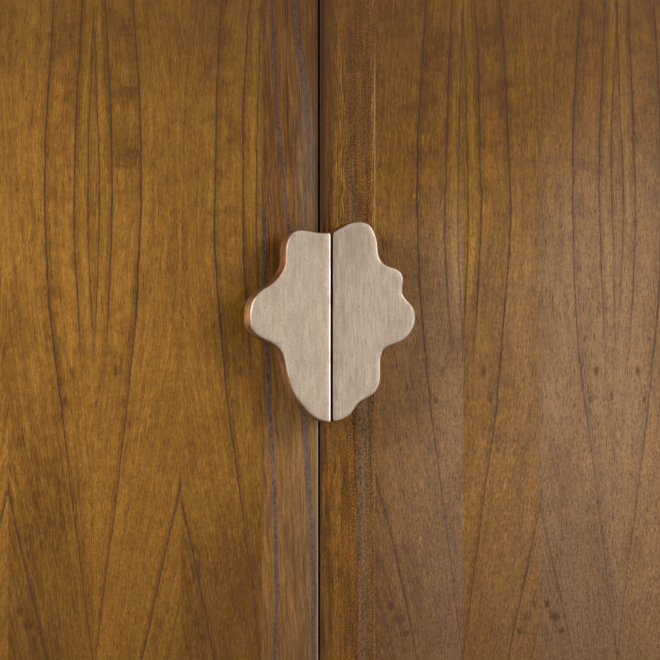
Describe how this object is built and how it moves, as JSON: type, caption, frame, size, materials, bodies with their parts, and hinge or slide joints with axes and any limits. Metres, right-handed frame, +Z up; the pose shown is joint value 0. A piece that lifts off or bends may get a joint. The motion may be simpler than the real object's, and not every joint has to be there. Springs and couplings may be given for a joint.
{
  "type": "sideboard",
  "caption": "Sideboard with a mitred case on a recessed plinth, inset doors faced with book-matched veneer, and an organic cast metal pull split between the doors.",
  "frame": {"origin": "on the floor under the middle of the sideboard's whole extent, pull included", "axes": "+X along the width, to the right seen from the front; +Y from the front to the back; +Z up"},
  "size_m": [1.22, 0.488, 0.86],
  "materials": {
    "case_veneer": "satin lacquered walnut-brown veneer",
    "door_veneer": "satin lacquered book-matched vertical veneer",
    "inside_veneer": "thin satin lacquer on plain veneer",
    "lipping_wood": "satin lacquered solid wood",
    "board_core": "bare board",
    "peg_wood": "bare beech and plywood",
    "plinth_wood": "dark stained, satin",
    "cast_metal": "matt brushed champagne cast metal",
    "hinge_brass": "satin brass",
    "screw_steel": "plated steel",
    "catch_plastic": "moulded brown plastic",
    "magnet": "dark sintered magnet",
    "glide_plastic": "dark moulded plastic",
    "bumper_rubber": "soft translucent brown"
  },
  "bodies": {
    "case": {"top_panel": "case_veneer", "bottom_panel": "case_veneer", "left_side_panel": "case_veneer", "right_side_panel": "case_veneer", "centre_partition": "inside_veneer", "back_panel": "inside_veneer", "mitre_splines": "peg_wood", "partition_tenons": "peg_wood", "back_panel_screws": "screw_steel", "left_shelf": "inside_veneer", "right_shelf": "inside_veneer", "left_shelf_lipping": "lipping_wood", "right_shelf_lipping": "lipping_wood", "shelf_pins": "hinge_brass", "plinth_front_rail": "plinth_wood", "plinth_back_rail": "plinth_wood", "plinth_left_rail": "plinth_wood", "plinth_right_rail": "plinth_wood", "plinth_cross_rail": "plinth_wood", "plinth_tenons": "peg_wood", "plinth_glue_blocks": "peg_wood", "glides": "glide_plastic", "glide_nails": "screw_steel", "case_hinge_leaves": "hinge_brass", "case_hinge_screws": "hinge_brass", "catch_bodies": "catch_plastic", "catch_magnets": "magnet", "catch_screws": "screw_steel", "door_bumpers": "bumper_rubber"},
    "left_door": {"left_door_core": "board_core", "left_door_lippings": "lipping_wood", "left_door_face_veneer": "door_veneer", "left_door_back_veneer": "inside_veneer", "left_door_hinge_leaves": "hinge_brass", "left_door_hinge_screws": "hinge_brass", "left_strike_plate": "screw_steel", "left_strike_screw": "screw_steel", "left_pull": "cast_metal", "left_pull_screws": "screw_steel"},
    "right_door": {"right_door_core": "board_core", "right_door_lippings": "lipping_wood", "right_door_face_veneer": "door_veneer", "right_door_back_veneer": "inside_veneer", "right_door_hinge_leaves": "hinge_brass", "right_door_hinge_screws": "hinge_brass", "right_strike_plate": "screw_steel", "right_strike_screw": "screw_steel", "right_pull": "cast_metal", "right_pull_screws": "screw_steel"}
  },
  "joints": [
    {"name": "left_door_hinge", "type": "hinge", "parent": "case", "child": "left_door", "pos_m": [-0.5735, -0.2075, 0.468], "axis": [0, 0, -1], "range_deg": [0, 135]},
    {"name": "right_door_hinge", "type": "hinge", "parent": "case", "child": "right_door", "pos_m": [0.5735, -0.2075, 0.468], "axis": [0, 0, 1], "range_deg": [0, 135]}
  ]
}
